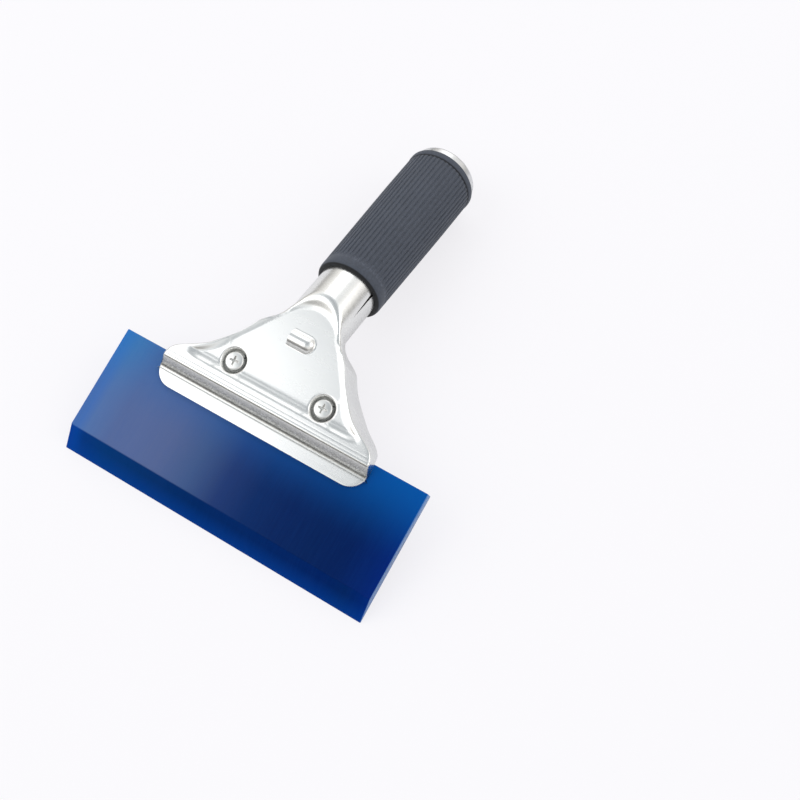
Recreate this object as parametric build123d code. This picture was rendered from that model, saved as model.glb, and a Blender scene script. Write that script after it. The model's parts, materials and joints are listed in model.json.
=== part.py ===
from build123d import *
import math
import os

# Hand squeegee applicator: a film-laying blade held in a pressed stainless head and handle.
#
# Every piece is modelled in the tool frame: X along the blade, Y from the working edge towards
# the grip, Z out of the blade's front face, with the blade's mid-plane at Z = 0.  The tool is
# then laid down on its working edge and its far grip collar, as it rests on a table.
# All lengths are millimetres and all angles degrees.

# ---------------------------------------------------------------- blade
BLADE_LENGTH = 150.0
BLADE_WIDTH = 57.5
BLADE_THICK = 7.0
BEVEL_RUN = 10.5
EDGE_LAND = 0.3
BLADE_SHIFT = 1.5

# ---------------------------------------------------------------- pressed head
SHEET = 1.2
JAW_HALF = 51.6
JAW_GRIP = 13.5
LIP_FLAT = 7.0
LIP_CORNER = 8.0
RIB_HEIGHT = 4.5
RIB_SLOPE = 48.0
RIB_BACK = 6.0
PANEL_SINK = 1.2
WALL_DRAFT = 11.0
FOLD_RADIUS = 1.2
PANEL_RADIUS = 1.5
SHOULDER_DROP = 2.5
SHOULDER_SWING = 57.0
WAIST_X = 27.5
WAIST_Y = 21.0
WAIST_INSET = (0.75, 0.66)
NAPE_X = 19.1
NAPE_Y = 32.5
NAPE_INSET = (0.8, 0.6)
NECK_Y = 49.5
NECK_TUCK = 1.9
FLANGE_DROP = 8.7
PANEL_HALF = 38.6
PANEL_RIM = 1.6
PANEL_START = 0.5
PANEL_JOIN = 45.0
PANEL_ARC = 1.5
PANEL_ARC_Y = 45.5
PANEL_DRAFT = 40.0
PAN_TAIL = 33.0
ROOT_ROUND = 1.0
CREST_ROUND = 3.0
TAIL_ROUND = 20.0
CHEEK_RUN = 6.0
CHEEK_RISE = 1.5
FLANGE_RUN = 14.0
MOUTH_RUN = 34.0
THROAT_RUN = 57.5
CHEEK_ROUND = 4.0
MOUTH_ROUND = 8.0

# ---------------------------------------------------------------- handle
HANDLE_ANGLE = 25.0
AXIS_RISE = 19.3
TUBE_RADIUS = 13.5
GRIP_START = 67.0
GRIP_LENGTH = 81.5
GRIP_WALL = 3.1
COLLAR_WALL = 3.8
NEAR_COLLAR = 6.5
FAR_COLLAR = 4.0
COLLAR_BLEND = 1.6
RIB_COUNT = 48
RIB_DEPTH = 0.6
SLEEVE_ROUND = 0.8
RING_LENGTH = 4.5
RING_WALL = 2.3
RING_ROUND = 1.2
SEAM_GAP = 0.4
TUBE_START = 30.0
SLIT_ANGLE = 65.0
SLIT_LENGTH = 15.0
SLIT_WIDTH = 1.5
SLIT_OVERRUN = 2.0
SOCKET_WALL = 2.1
SOCKET_DEPTH = 45.0
SOCKET_FLANGE = 1.5
SOCKET_LEAD_IN = 0.8

# ---------------------------------------------------------------- screws and hook
SCREW_SPACING = 44.0
SCREW_FROM_BLADE = 9.5
SCREW_RADIUS = 2.0
SCREW_LENGTH = 12.0
SCREW_TIP = 0.5
HEAD_RADIUS = 4.0
HEAD_HEIGHT = 2.4
HEAD_SIDE = 0.55
DOME_POINT = (0.62, 0.93)
RECESS_SPAN = 5.4
RECESS_WIDTH = 0.9
WASHER_RADIUS = 3.8
WASHER_THICK = 0.9
WASHER_SPLIT = 0.5
SPLIT_LEAN = 30.0
SPLIT_TURN = 40.0
DIMPLE_DEPTH = 3.4
DIMPLE_TOP = 6.2
DIMPLE_SEAT = 4.7
NUT_FLATS = 7.0
NUT_HEIGHT = 3.2
NUT_CHAMFER = 0.25
HUMP_LENGTH = 12.0
HUMP_HALF = 3.7
HUMP_HEIGHT = 2.4
HUMP_FROM_BLADE = 29.5
HOOK_ROLL = 1.8
HOOK_RISE = 0.6
HOOK_NECK = 2.0
JOGGLE_RUN = 2.4
NUT_LAND = 16.5

# ---------------------------------------------------------------- clearances
RUNNING_GAP = 0.05
SHAKE = 0.3
PLATE_GAP = 0.6
THREAD_GAP = 0.15
HOLE_GAP = 0.25
STOP_GAP = 0.3

# ---------------------------------------------------------------- worked out
HALF_THICK = BLADE_THICK / 2
LIP_FRONT = BLADE_WIDTH - JAW_GRIP
LIP_TOP = HALF_THICK + SHEET
RIB_TOP = LIP_TOP + RIB_HEIGHT
RIB_START = LIP_FRONT + LIP_FLAT
RIB_CREST = RIB_START + RIB_HEIGHT / math.tan(math.radians(RIB_SLOPE))
PANEL_FRONT = BLADE_WIDTH + RIB_BACK
PANEL_TOP = RIB_TOP - PANEL_SINK
PANEL_UNDER = PANEL_TOP - SHEET
FLANGE_FRONT = BLADE_WIDTH + STOP_GAP
FLANGE_LOW = LIP_TOP - FLANGE_DROP
SEAT_TOP = PANEL_TOP - DIMPLE_DEPTH
HUMP_Y = BLADE_WIDTH + HUMP_FROM_BLADE
HUMP_RADIUS = (HUMP_HALF**2 + HUMP_HEIGHT**2) / (2 * HUMP_HEIGHT)
HUMP_Z = PANEL_TOP + HUMP_HEIGHT - HUMP_RADIUS
SCREW_Y = BLADE_WIDTH + SCREW_FROM_BLADE
TUBE_BORE = TUBE_RADIUS - SHEET
PANEL_ARC_RADIUS = TUBE_RADIUS + PANEL_ARC
GRIP_RADIUS = TUBE_RADIUS + GRIP_WALL
COLLAR_RADIUS = TUBE_RADIUS + COLLAR_WALL
RING_RADIUS = TUBE_RADIUS + RING_WALL
SOCKET_BORE = TUBE_BORE - SOCKET_WALL
GRIP_END = GRIP_START + GRIP_LENGTH
TUBE_END = GRIP_END + RING_LENGTH
FAR = 60.0
SIN = math.sin(math.radians(HANDLE_ANGLE))
COS = math.cos(math.radians(HANDLE_ANGLE))


def axis_plane(distance, turn=0.0):
    """Plane square to the handle axis, at a distance along it, turned about it."""
    origin = (0, BLADE_WIDTH + distance * COS, AXIS_RISE - distance * SIN)
    plane = Plane(origin=origin, x_dir=(1, 0, 0), z_dir=(0, COS, -SIN))
    return plane.rotated((0, 0, turn))


def turned(plane, outline):
    """Solid of revolution about the handle axis; outline holds (radius, distance) corners."""
    face = make_face(Polyline(*[(r, 0, z) for r, z in outline], close=True))
    return plane * revolve(face, Axis.Z)


def rod(plane, radius, length):
    """Cylinder that starts on the plane and runs along its normal."""
    return plane * extrude(Circle(radius), length)


# ---------------------------------------------------------------- head outlines
def draft_inset(height):
    """How far the drafted side wall has moved in at a height above the lip's level."""
    return (height - LIP_TOP) * math.tan(math.radians(WALL_DRAFT))


def mirrored_face(half):
    """Closed face from the right half of an outline."""
    other = [edge.mirror(Plane.YZ) for edge in half]
    return make_face(Wire(list(half) + other))


def head_outline(inset):
    """The head seen from the front, drawn in by inset: lip corners, shoulders, waist, neck."""
    half = JAW_HALF - inset
    front = LIP_FRONT + inset
    corner = LIP_CORNER - inset
    shoulder_y = BLADE_WIDTH - SHOULDER_DROP
    centre_x = half - corner
    swing = math.radians(SHOULDER_SWING)
    flare_x = centre_x + corner * math.cos(swing)
    flare_y = shoulder_y + corner * math.sin(swing)
    waist = (WAIST_X - WAIST_INSET[0] * inset, BLADE_WIDTH + WAIST_Y - WAIST_INSET[1] * inset)
    nape = (NAPE_X - NAPE_INSET[0] * inset, BLADE_WIDTH + NAPE_Y - NAPE_INSET[1] * inset)
    neck = (TUBE_RADIUS - NECK_TUCK - inset, BLADE_WIDTH + NECK_Y)
    leave = (-math.sin(swing), math.cos(swing))
    return mirrored_face([
        Line((0, front), (centre_x, front)),
        CenterArc((centre_x, front + corner), corner, -90, 90),
        Line((half, front + corner), (half, shoulder_y)),
        CenterArc((centre_x, shoulder_y), corner, 0, SHOULDER_SWING),
        Spline((flare_x, flare_y), waist, nape, neck, tangents=[leave, (0, 1)]),
        Line(neck, (0, neck[1])),
    ])


def panel_outline(outset):
    """The sunk panel seen from the front, grown by outset: corners, flanks and top arc."""
    front = PANEL_FRONT - outset
    corner_x = PANEL_HALF + PANEL_RIM * outset
    top_y = BLADE_WIDTH + PANEL_ARC_Y + outset
    radius = PANEL_ARC_RADIUS + outset
    arc_y = top_y - radius
    join = math.radians(PANEL_JOIN)
    join_at = (radius * math.cos(join), arc_y + radius * math.sin(join))
    inward = outset - PANEL_RIM
    waist = (WAIST_X + WAIST_INSET[0] * inward, BLADE_WIDTH + WAIST_Y + WAIST_INSET[1] * inward)
    nape = (NAPE_X + NAPE_INSET[0] * inward, BLADE_WIDTH + NAPE_Y + NAPE_INSET[1] * inward)
    start = (-math.sqrt(1 - PANEL_START**2), PANEL_START)
    return mirrored_face([
        Line((0, front), (corner_x, front)),
        Spline((corner_x, front), waist, nape, join_at, tangents=[start, (-math.sin(join), math.cos(join))]),
        CenterArc((0, arc_y), radius, PANEL_JOIN, 90 - PANEL_JOIN),
    ])


def drawn(outline, low, high, inset_low, inset_high):
    """Drafted block between two heights, from an outline function of its inset."""
    bottom = Plane.XY.offset(low) * outline(inset_low)
    top = Plane.XY.offset(high) * outline(inset_high)
    return loft([bottom, top], ruled=True)


def side_cut(corners, rounds=()):
    """Prism right across the tool, from (y, z) corners; rounds are (corner, radius) pairs."""
    face = make_face(Polyline(*[(y, z) for y, z in corners], close=True))
    for (y, z), radius in rounds:
        nearest = min(face.vertices(), key=lambda v: math.hypot(v.X - y, v.Y - z))
        face = fillet(nearest, radius)
    plane = Plane(origin=(-FAR * 2, 0, 0), x_dir=(0, 1, 0), z_dir=(1, 0, 0))
    return plane * extrude(face, 4 * FAR)


# ---------------------------------------------------------------- handle body
def pan(skin):
    """Head block whose skin lies a distance inside the outer face: lip, rib and tail in profile."""
    low = -FAR / 3
    high = RIB_TOP + 2
    planform = drawn(head_outline, low, high, draft_inset(low) + skin, draft_inset(high) + skin)
    lean = skin * math.tan(math.radians(RIB_SLOPE / 2))
    top = RIB_TOP - skin
    tail_y = BLADE_WIDTH + PAN_TAIL
    tail_run = NECK_Y + FAR / 6 - PAN_TAIL
    tail_z = top - tail_run * math.tan(math.radians(HANDLE_ANGLE))
    root = (RIB_START + lean, LIP_TOP - skin)
    crest = (RIB_CREST + lean, top)
    low_z = FLANGE_LOW - skin
    front = [(-FAR, HALF_THICK), (-FAR, LIP_TOP)] if skin == 0 else [(-FAR, HALF_THICK)]
    back = [(FLANGE_FRONT, low_z), (FLANGE_FRONT, HALF_THICK)] if skin == 0 else [(-FAR, low_z)]
    profile = front + [root, crest, (tail_y, top), (tail_y + tail_run, tail_z),
                       (tail_y + tail_run, low_z)] + back
    rounds = [(root, ROOT_ROUND + skin), (crest, CREST_ROUND - skin), ((tail_y, top), TAIL_ROUND)]
    return planform & side_cut(profile, rounds)


def rim_edges(block):
    """The folds along the head's flanks, where its top turns down into its side walls."""
    folds = block.edges().filter_by(lambda e: e.geom_type in (GeomType.CIRCLE, GeomType.BSPLINE))
    return folds.filter_by(lambda e: e.center().Y > FLANGE_FRONT + FOLD_RADIUS
                           and e.bounding_box().min.Z > FLANGE_LOW + FOLD_RADIUS)


def tube(radius):
    """Handle tube from inside the head to the handle's end."""
    return rod(axis_plane(TUBE_START), radius, TUBE_END - TUBE_START)


def panel_pocket(skin):
    """What the sunk panel takes out of the head, seen at a depth under the outer face."""
    floor = PANEL_TOP - skin
    rise = 12.0
    spread = rise * math.tan(math.radians(PANEL_DRAFT))
    pocket = drawn(panel_outline, floor, floor + rise, skin, skin + spread)
    return fillet(pocket.faces().sort_by(Axis.Z)[0].edges(), PANEL_RADIUS + skin)


def dimple(x, skin):
    """Tapered sink under a screw head, seen at a depth under the outer face."""
    height = DIMPLE_DEPTH
    cone = Cone(DIMPLE_SEAT + skin, DIMPLE_TOP + skin, height,
                align=(Align.CENTER, Align.CENTER, Align.MIN))
    rim = Cylinder(DIMPLE_TOP + skin, FAR, align=(Align.CENTER, Align.CENTER, Align.MIN))
    return Pos(x, SCREW_Y, SEAT_TOP - skin) * (cone + Pos(0, 0, height) * rim)


def hump(skin, left, right):
    """Half-round lanced hump along X: cut square at its left end, domed at its right."""
    radius = HUMP_RADIUS - skin
    outline = [Line((left, 0), (left, radius)), Line((left, radius), (right - radius, radius)),
               CenterArc((right - radius, 0), radius, 0, 90), Line((right, 0), (left, 0))]
    whole = Pos(0, HUMP_Y, HUMP_Z) * revolve(make_face(Wire(outline)), Axis.X)
    keep = Pos(0, HUMP_Y, PANEL_UNDER - RUNNING_GAP) * Box(
        FAR, FAR, FAR, align=(Align.CENTER, Align.CENTER, Align.MIN))
    return whole & keep


def relief_slit(side):
    """Tapered slit that frees the rolled tube from the neck, on one side."""
    depth = 2 * SHEET
    plane = axis_plane(GRIP_START - SLIT_LENGTH, 90.0 - side * SLIT_ANGLE)
    tip = (TUBE_RADIUS - depth, 0, 0)
    reach = SLIT_LENGTH + SLIT_OVERRUN
    wide = SLIT_WIDTH / 2
    face = make_face(Polyline(tip, (tip[0], wide, reach), (tip[0], -wide, reach), close=True))
    return plane * extrude(face, 3 * depth, dir=(1, 0, 0))


def make_handle_body():
    """Head and handle tube, pressed and rolled from one sheet."""
    screws = [-SCREW_SPACING / 2, SCREW_SPACING / 2]
    block = pan(0)
    outer = fillet(rim_edges(block), FOLD_RADIUS) + tube(TUBE_RADIUS) - panel_pocket(0)
    inner = pan(SHEET) + tube(TUBE_BORE) - panel_pocket(SHEET)
    for x in screws:
        outer = outer - dimple(x, 0)
        inner = inner - dimple(x, SHEET)
    outer = outer + hump(0, -HUMP_LENGTH / 2, HUMP_LENGTH / 2)
    inner = inner + hump(SHEET, -HUMP_LENGTH / 2 - 0.5, HUMP_LENGTH / 2 - SHEET)
    body = outer - inner
    cheek = (FLANGE_FRONT + CHEEK_RUN, FLANGE_LOW + CHEEK_RISE)
    mouth = (BLADE_WIDTH + MOUTH_RUN, FLANGE_LOW)
    under = [(-FAR, -FAR), (-FAR, HALF_THICK), (FLANGE_FRONT, HALF_THICK), cheek,
             (FLANGE_FRONT + FLANGE_RUN, FLANGE_LOW), mouth,
             (BLADE_WIDTH + THROAT_RUN, AXIS_RISE - FAR)]
    body = body - side_cut(under, [(cheek, CHEEK_ROUND), (mouth, MOUTH_ROUND)])
    for x in screws:
        body = body - Pos(x, SCREW_Y, SEAT_TOP) * Cylinder(SCREW_RADIUS + HOLE_GAP, 4 * SHEET)
    for side in (-1, 1):
        body = body - relief_slit(side)
    seam = axis_plane(TUBE_START) * Pos(0, -TUBE_RADIUS, TUBE_END / 2) * Box(SEAM_GAP, 4 * SHEET, TUBE_END)
    return body - seam


# ---------------------------------------------------------------- jaw plate
def folded(path, thick):
    """Side profile of a folded strip: the path is its front face, its back lies thick below."""
    back = []
    for i, (y, z) in enumerate(path):
        before = path[max(i - 1, 0)]
        after = path[min(i + 1, len(path) - 1)]
        first = math.atan2(z - before[1], y - before[0]) if i > 0 else None
        second = math.atan2(after[1] - z, after[0] - y) if i < len(path) - 1 else None
        first = second if first is None else first
        second = first if second is None else second
        middle = (first + second) / 2
        reach = thick / math.cos((second - first) / 2)
        back.append((y + reach * math.sin(middle), z - reach * math.cos(middle)))
    return path + back[::-1]


def make_jaw_plate():
    """Rear jaw: lip under the blade, joggle that stops it, nut land, ramp and rolled hook."""
    land = -SHAKE
    hook_top = HUMP_Z + HOOK_RISE
    ramp_y = BLADE_WIDTH + NUT_LAND
    ramp_end = ramp_y + (PANEL_UNDER - SHAKE - land)
    path = [(LIP_FRONT, -HALF_THICK), (FLANGE_FRONT, -HALF_THICK), (FLANGE_FRONT + JOGGLE_RUN, land),
            (ramp_y, land), (ramp_end, PANEL_UNDER - SHAKE), (HUMP_Y, PANEL_UNDER - SHAKE)]
    strip = side_cut(folded(path, SHEET))
    planform = extrude(head_outline(SHEET + PLATE_GAP), 2 * FAR, both=True)
    plate = strip & planform
    hook_left = SHEET - HUMP_LENGTH / 2
    hook_width = HUMP_LENGTH - SHEET - HUMP_RADIUS
    neck_y = ramp_end + HOOK_NECK
    waist = side_cut([(neck_y, -FAR), (neck_y, FAR), (4 * FAR, FAR), (4 * FAR, -FAR)])
    tongue = Pos(hook_left, 0, 0) * Box(hook_width, 8 * FAR, 4 * FAR, align=(
        Align.MIN, Align.CENTER, Align.CENTER))
    plate = plate - (waist - tongue)
    roll_plane = Plane(origin=(hook_left, HUMP_Y, hook_top), x_dir=(0, 1, 0), z_dir=(1, 0, 0))
    plate = plate + rod(roll_plane, HOOK_ROLL, hook_width)
    plate = plate - rod(roll_plane, HOOK_ROLL / 3, hook_width)
    for x in (-SCREW_SPACING / 2, SCREW_SPACING / 2):
        plate = plate - Pos(x, SCREW_Y, land) * Cylinder(SCREW_RADIUS + HOLE_GAP, 4 * SHEET)
    return plate


def make_nut(x):
    """Hex nut fixed to the back of the jaw plate."""
    nut = extrude(RegularPolygon(NUT_FLATS / 2, 6, major_radius=False), NUT_HEIGHT)
    nut = nut - Cylinder(SCREW_RADIUS + THREAD_GAP, 4 * NUT_HEIGHT)
    nut = chamfer(nut.edges().filter_by(GeomType.CIRCLE), NUT_CHAMFER)
    return Pos(x, SCREW_Y, -SHAKE - SHEET - NUT_HEIGHT) * nut


# ---------------------------------------------------------------- screws
def make_screw(x):
    """Pan head screw with a cross recess, seated on its washer."""
    corners = [(0, 0), (HEAD_RADIUS, 0), (HEAD_RADIUS, HEAD_HEIGHT * HEAD_SIDE), (0, HEAD_HEIGHT)]
    through = (HEAD_RADIUS * DOME_POINT[0], HEAD_HEIGHT * DOME_POINT[1])
    dome = Line(corners[1], corners[2]) + ThreePointArc(corners[2], through, corners[3])
    dome = dome + Line(corners[3], corners[0])
    head = revolve(Plane.XZ * make_face(dome + Line(corners[0], corners[1])), Axis.Z)
    shank = Pos(0, 0, -SCREW_LENGTH) * extrude(Circle(SCREW_RADIUS), SCREW_LENGTH)
    shank = chamfer(shank.edges().sort_by(Axis.Z)[0], SCREW_TIP)
    slot = Pos(0, 0, HEAD_HEIGHT) * Box(RECESS_SPAN, RECESS_WIDTH, HEAD_HEIGHT)
    cross = slot + Rot(0, 0, 90) * slot
    screw = head + shank - cross
    return Pos(x, SCREW_Y, SEAT_TOP + WASHER_THICK) * screw


def make_lock_washer(x):
    """Split lock washer under the screw head."""
    ring = extrude(Circle(WASHER_RADIUS) - Circle(SCREW_RADIUS + RUNNING_GAP), WASHER_THICK)
    split = Pos(WASHER_RADIUS, 0, WASHER_THICK / 2) * Rot(SPLIT_LEAN, 0, 0) * Box(
        2 * WASHER_RADIUS, WASHER_SPLIT, 4 * WASHER_THICK)
    return Pos(x, SCREW_Y, SEAT_TOP) * (ring - Rot(0, 0, SPLIT_TURN) * split)


# ---------------------------------------------------------------- handle fittings
def make_grip_sleeve():
    """Rubber sleeve: lengthwise ribs between two smooth collars."""
    valley = GRIP_RADIUS - RIB_DEPTH
    bore = TUBE_RADIUS + RUNNING_GAP
    start = axis_plane(GRIP_START)
    rib_from = NEAR_COLLAR + RIB_DEPTH
    rib_to = GRIP_LENGTH - FAR_COLLAR - COLLAR_BLEND
    soft = SLEEVE_ROUND
    profile = [(bore, 0), (GRIP_RADIUS - soft, 0), (GRIP_RADIUS, soft),
               (GRIP_RADIUS, NEAR_COLLAR), (valley, rib_from), (valley, rib_to),
               (COLLAR_RADIUS, GRIP_LENGTH - FAR_COLLAR), (COLLAR_RADIUS, GRIP_LENGTH - soft),
               (COLLAR_RADIUS - soft, GRIP_LENGTH), (bore, GRIP_LENGTH)]
    sleeve = turned(start, profile)
    pitch = 360.0 / RIB_COUNT
    teeth = []
    for i in range(RIB_COUNT):
        for radius, share in ((valley, -0.5), (valley, -0.2), (GRIP_RADIUS, -0.1), (GRIP_RADIUS, 0.4)):
            angle = math.radians((i + share) * pitch)
            teeth.append((radius * math.cos(angle), radius * math.sin(angle)))
    crown = make_face(Polyline(*teeth, close=True)) - Circle(valley - 0.4)
    ribs = axis_plane(GRIP_START + NEAR_COLLAR) * extrude(crown, GRIP_LENGTH - NEAR_COLLAR - FAR_COLLAR)
    return sleeve + ribs


def make_end_ring():
    """Steel ring pressed over the tube's end, against the grip."""
    soft = RING_ROUND
    bore = TUBE_RADIUS + RUNNING_GAP
    corners = [(bore, 0), (RING_RADIUS, 0), (RING_RADIUS, RING_LENGTH - soft),
               (RING_RADIUS - 0.35 * soft, RING_LENGTH - 0.35 * soft),
               (RING_RADIUS - soft, RING_LENGTH), (bore, RING_LENGTH)]
    return turned(axis_plane(GRIP_END), corners)


def make_pole_socket():
    """Moulded liner in the tube's open end, with a flange over the end of the tube."""
    outer = TUBE_BORE - RUNNING_GAP
    corners = [(SOCKET_BORE, -SOCKET_DEPTH), (outer - SOCKET_LEAD_IN, -SOCKET_DEPTH),
               (outer, SOCKET_LEAD_IN - SOCKET_DEPTH), (outer, 0), (TUBE_RADIUS, 0),
               (TUBE_RADIUS, SOCKET_FLANGE), (SOCKET_BORE, SOCKET_FLANGE)]
    return turned(axis_plane(TUBE_END), corners)


# ---------------------------------------------------------------- blade
def make_blade():
    """Cast bar with one long edge bevelled down to a narrow land."""
    left = BLADE_SHIFT - BLADE_LENGTH / 2
    plane = Plane(origin=(left, 0, 0), x_dir=(0, 1, 0), z_dir=(1, 0, 0))
    face = make_face(Polyline(
        (0, -HALF_THICK), (0, EDGE_LAND - HALF_THICK), (BEVEL_RUN, HALF_THICK),
        (BLADE_WIDTH, HALF_THICK), (BLADE_WIDTH, -HALF_THICK), close=True))
    return plane * extrude(face, BLADE_LENGTH)


# ---------------------------------------------------------------- laid on the table
def lying_angle():
    """Pitch at which the working edge and the far collar touch the table together."""
    back_y = BLADE_WIDTH + GRIP_END * COS - COLLAR_RADIUS * SIN
    back_z = AXIS_RISE - GRIP_END * SIN - COLLAR_RADIUS * COS
    return math.degrees(math.atan2(-HALF_THICK - back_z, back_y))


def build():
    """All pieces in the tool frame, by node name."""
    spread = SCREW_SPACING / 2
    return {
        "handle_body": make_handle_body(),
        "jaw_plate": make_jaw_plate(),
        "blade": make_blade(),
        "left_screw": make_screw(-spread),
        "right_screw": make_screw(spread),
        "left_lock_washer": make_lock_washer(-spread),
        "right_lock_washer": make_lock_washer(spread),
        "left_nut": make_nut(-spread),
        "right_nut": make_nut(spread),
        "grip_sleeve": make_grip_sleeve(),
        "end_ring": make_end_ring(),
        "pole_socket": make_pole_socket(),
    }


def main():
    """Lay the tool down, put the origin under its middle and write one file per piece."""
    laid = {name: Rot(lying_angle(), 0, 0) * piece for name, piece in build().items()}
    box = Compound(children=[Compound(p.solids()) for p in laid.values()]).bounding_box()
    middle = box.center()
    move = Pos(-middle.X, -middle.Y, -box.min.Z)
    os.makedirs("parts", exist_ok=True)
    for name, piece in laid.items():
        export_step(move * piece, f"parts/{name}.step")
    print(f"laid down by {lying_angle():.4f} deg and moved by {tuple(move.position)} mm")


main()
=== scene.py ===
import json
import math

import bpy
import bmesh
import numpy as np
from mathutils import Matrix, Vector


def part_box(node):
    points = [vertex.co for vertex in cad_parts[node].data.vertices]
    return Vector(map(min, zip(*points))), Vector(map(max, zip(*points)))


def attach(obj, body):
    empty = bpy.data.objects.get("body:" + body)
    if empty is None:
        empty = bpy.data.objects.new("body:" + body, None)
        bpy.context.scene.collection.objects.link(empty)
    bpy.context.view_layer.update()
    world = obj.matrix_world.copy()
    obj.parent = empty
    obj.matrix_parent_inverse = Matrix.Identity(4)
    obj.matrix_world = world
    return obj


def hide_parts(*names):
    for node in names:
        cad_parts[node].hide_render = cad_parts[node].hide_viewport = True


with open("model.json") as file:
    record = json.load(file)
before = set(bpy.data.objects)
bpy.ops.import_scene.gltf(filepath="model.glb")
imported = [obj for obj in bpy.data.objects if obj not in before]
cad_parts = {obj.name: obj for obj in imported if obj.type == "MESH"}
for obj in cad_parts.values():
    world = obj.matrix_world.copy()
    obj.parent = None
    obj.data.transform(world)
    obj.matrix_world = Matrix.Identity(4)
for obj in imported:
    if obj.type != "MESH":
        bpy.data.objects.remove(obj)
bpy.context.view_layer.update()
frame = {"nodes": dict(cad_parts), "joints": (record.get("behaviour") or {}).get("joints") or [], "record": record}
joints = {joint["name"]: joint for joint in frame["joints"]}
mounts = {mount["name"]: mount for mount in frame["record"]["mounts"]}

# ---- tool frame
# Lengths are millimetres in the tool frame, and metres in materials, lamps and camera.  X runs
# along the blade from the head's middle, Y from the working edge towards the handle, Z out of the
# blade's front, with its mid-plane at Z = 0.  at() takes points to the row frame, in metres.
MM = 0.001
BLADE_WIDTH = 57.5
BLADE_THICK = 7.0
LIP_FRONT = 44.0
HANDLE_ANGLE = math.radians(25.0)
AXIS_RISE = 19.3

ACROSS = np.array([1.0, 0.0, 0.0])
FRONT = np.array(joints["left_screw_turn"]["axis"])
ALONG = -np.array(joints["blade_out"]["axis"])
JAW_MOUTH = np.array(mounts["jaw_slot"]["pos_m"])
COS = math.cos(HANDLE_ANGLE)
SIN = math.sin(HANDLE_ANGLE)


def at(points):
    """Row-frame points, in metres, from tool-frame points in millimetres."""
    points = np.asarray(points, float)
    x, y, z = points[..., 0:1], points[..., 1:2] - LIP_FRONT, points[..., 2:3]
    return JAW_MOUTH + MM * (x * ACROSS + y * ALONG + z * FRONT)


def on_axis(points, start=0.0):
    """Tool-frame points from points about the handle axis: (across, up from it, along it)."""
    points = np.asarray(points, float)
    x, up, run = points[..., 0], points[..., 1], points[..., 2] + start
    return np.stack([x, BLADE_WIDTH + run * COS + up * SIN, AXIS_RISE - run * SIN + up * COS], -1)


# ---- mesh helpers
def put(name, data):
    """Object of a mesh, lamp or camera, set in the scene."""
    made = bpy.data.objects.new(name, data)
    bpy.context.scene.collection.objects.link(made)
    return made


def shade(piece, smooth_angle):
    """Shade a piece smooth but for edges over the angle."""
    piece.data.shade_smooth()
    piece.data.set_sharp_from_angle(angle=math.radians(smooth_angle))


def mesh_object(name, points, faces, smooth_angle=35.0):
    """A piece from row-frame points."""
    mesh = bpy.data.meshes.new(name)
    mesh.from_pydata([tuple(p) for p in np.asarray(points, float)], [], [tuple(f) for f in faces])
    mesh.update()
    piece = put(name, mesh)
    shade(piece, smooth_angle)
    return piece


def settle(piece):
    """Replace a piece's mesh by what its modifiers make of it."""
    bpy.context.view_layer.update()
    depsgraph = bpy.context.evaluated_depsgraph_get()
    made = bpy.data.meshes.new_from_object(piece.evaluated_get(depsgraph))
    piece.modifiers.clear()
    piece.data = made


def take_apart(piece):
    """Points and faces of a piece that only helped to make another; the piece itself goes."""
    points = [v.co[:] for v in piece.data.vertices]
    faces = [tuple(p.vertices) for p in piece.data.polygons]
    bpy.data.objects.remove(piece)
    return points, faces


def rows_to_faces(rows, columns, closed=False):
    """Quads of a grid of points stored row by row; closed joins the last column to the first."""
    faces = []
    for j in range(rows - 1):
        for i in range(columns if closed else columns - 1):
            k = (i + 1) % columns
            faces.append((j * columns + i, j * columns + k, (j + 1) * columns + k, (j + 1) * columns + i))
    return faces


def solid_rings(name, rings, smooth_angle=35.0, reach=1e-7, capped=False):
    """A closed piece through rings of row-frame points; capped puts a flat face at each end."""
    count = len(rings[0])
    faces = rows_to_faces(len(rings), count, closed=True)
    if capped:
        faces += [tuple(range(count))[::-1], tuple((len(rings) - 1) * count + i for i in range(count))]
    piece = mesh_object(name, np.reshape(rings, (-1, 3)), faces)
    work = bmesh.new()
    work.from_mesh(piece.data)
    bmesh.ops.remove_doubles(work, verts=work.verts, dist=reach)
    bmesh.ops.dissolve_degenerate(work, edges=work.edges, dist=reach)
    bmesh.ops.recalc_face_normals(work, faces=work.faces)
    work.to_mesh(piece.data)
    work.free()
    shade(piece, smooth_angle)
    return piece


def turned(name, outline, start, steps):
    """Piece turned about the handle axis from a closed outline of (radius, distance along it)."""
    angles = np.linspace(0, 2 * math.pi, steps, endpoint=False)
    rings = [[(r * math.sin(a), r * math.cos(a), run) for a in angles] for r, run in outline + outline[:1]]
    return solid_rings(name, at(on_axis(rings, start)))


def rounded(corners, radii, steps):
    """Closed outline with each corner rounded to its own radius."""
    out = []
    for i, corner in enumerate(corners):
        here = np.array(corner, float)
        if radii[i] <= 0:
            out.append(tuple(here))
            continue
        a, b = (np.array(corners[k % len(corners)], float) - here for k in (i - 1, i + 1))
        a, b = a / np.linalg.norm(a), b / np.linalg.norm(b)
        half = math.acos(np.clip(a @ b, -1, 1)) / 2
        reach = radii[i] / math.tan(half)
        middle = here + (a + b) / np.linalg.norm(a + b) * radii[i] / math.sin(half)
        first = here + a * reach - middle
        last = here + b * reach - middle
        turn = math.atan2(first[0] * last[1] - first[1] * last[0], first @ last)
        for k in range(steps + 1):
            c, s = math.cos(turn * k / steps), math.sin(turn * k / steps)
            out.append(tuple(middle + np.array([c * first[0] - s * first[1], s * first[0] + c * first[1]])))
    return out


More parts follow.
